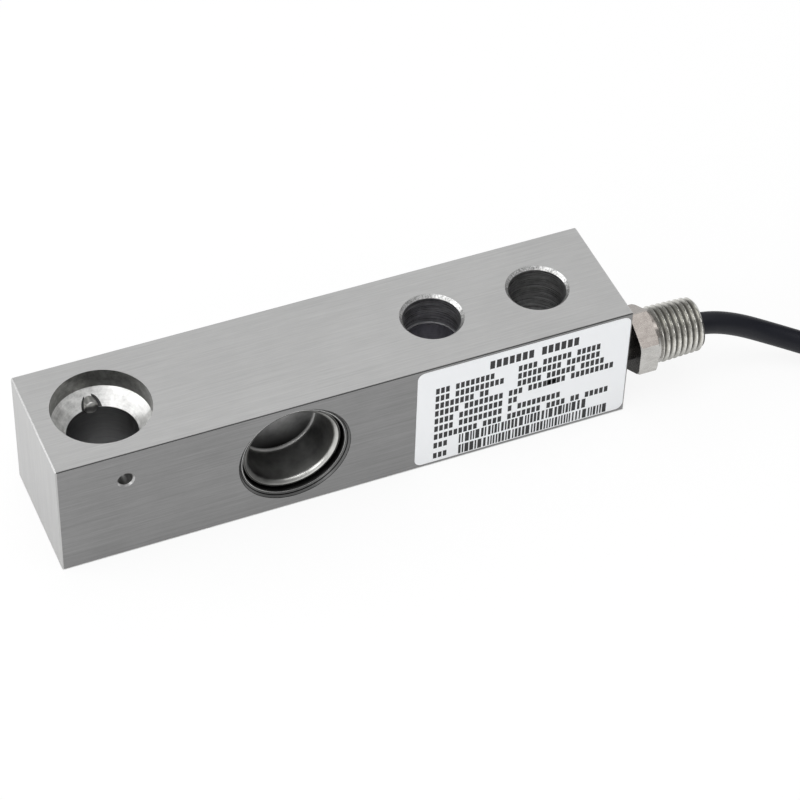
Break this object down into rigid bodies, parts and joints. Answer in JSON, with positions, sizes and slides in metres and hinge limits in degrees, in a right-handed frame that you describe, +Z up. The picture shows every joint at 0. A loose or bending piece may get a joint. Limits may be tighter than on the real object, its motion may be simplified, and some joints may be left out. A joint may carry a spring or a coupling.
{
  "type": "beam load cell",
  "caption": "Single-ended shear beam load cell: steel bar with a counterbored load hole, sealed gauge pockets, mounting holes, threaded cable fitting and a coiled cable.",
  "frame": {"origin": "on the load hole's axis, in the plane of the bar's bottom face", "axes": "+X along the bar from the load hole to the cable end, +Y to the bar's back, +Z up out of the top face; the label is on the -Y side"},
  "size_m": [0.3296, 0.0484, 0.032],
  "materials": {
    "bar_steel": "ground satin",
    "pin_steel": "turned",
    "cup_steel": "drawn bright",
    "gauge_film": "amber film",
    "circuit_board": "lacquered",
    "tinned_copper": "tinned",
    "resistor_body": "moulded",
    "inner_insulation": "smooth",
    "shell_steel": "plated",
    "bead_glass": "fused",
    "nickel_plate": "nickel plated satin",
    "seal_rubber": "moulded",
    "cable_jacket": "extruded",
    "red_insulation": "smooth",
    "black_insulation": "smooth",
    "green_insulation": "smooth",
    "white_insulation": "smooth",
    "shield_sleeve": "smooth",
    "shrink_sleeve": "shrunk on",
    "label_film": "silver white film",
    "tie_nylon": "moulded"
  },
  "bodies": {
    "root": {"beam_body": "bar_steel", "load_stop_pin": "pin_steel", "front_sealing_cup": "cup_steel", "rear_sealing_cup": "cup_steel", "front_strain_gauge": "gauge_film", "rear_strain_gauge": "gauge_film", "front_terminal_ring": "circuit_board", "rear_terminal_ring": "circuit_board", "front_ribbon_leads": "tinned_copper", "rear_ribbon_leads": "tinned_copper", "trim_resistors": "resistor_body", "bridge_wires": "inner_insulation", "rear_link_wires": "inner_insulation", "feedthrough_shell": "shell_steel", "feedthrough_glass": "bead_glass", "feedthrough_pins": "shell_steel", "cable_fitting": "nickel_plate", "seal_washers": "nickel_plate", "seal_bush": "seal_rubber", "gland_screw": "nickel_plate", "cable_jacket_end": "cable_jacket", "red_core": "red_insulation", "black_core": "black_insulation", "green_core": "green_insulation", "white_core": "white_insulation", "drain_wire": "tinned_copper", "rating_label": "label_film", "cable_run": "cable_jacket", "cable_coil": "cable_jacket", "cable_tie": "tie_nylon", "cable_tail": "cable_jacket", "end_sleeve": "shrink_sleeve", "red_lead": "red_insulation", "white_lead": "white_insulation", "black_lead": "black_insulation", "green_lead": "green_insulation", "shield_lead": "shield_sleeve", "tinned_tips": "tinned_copper"}
  },
  "joints": []
}
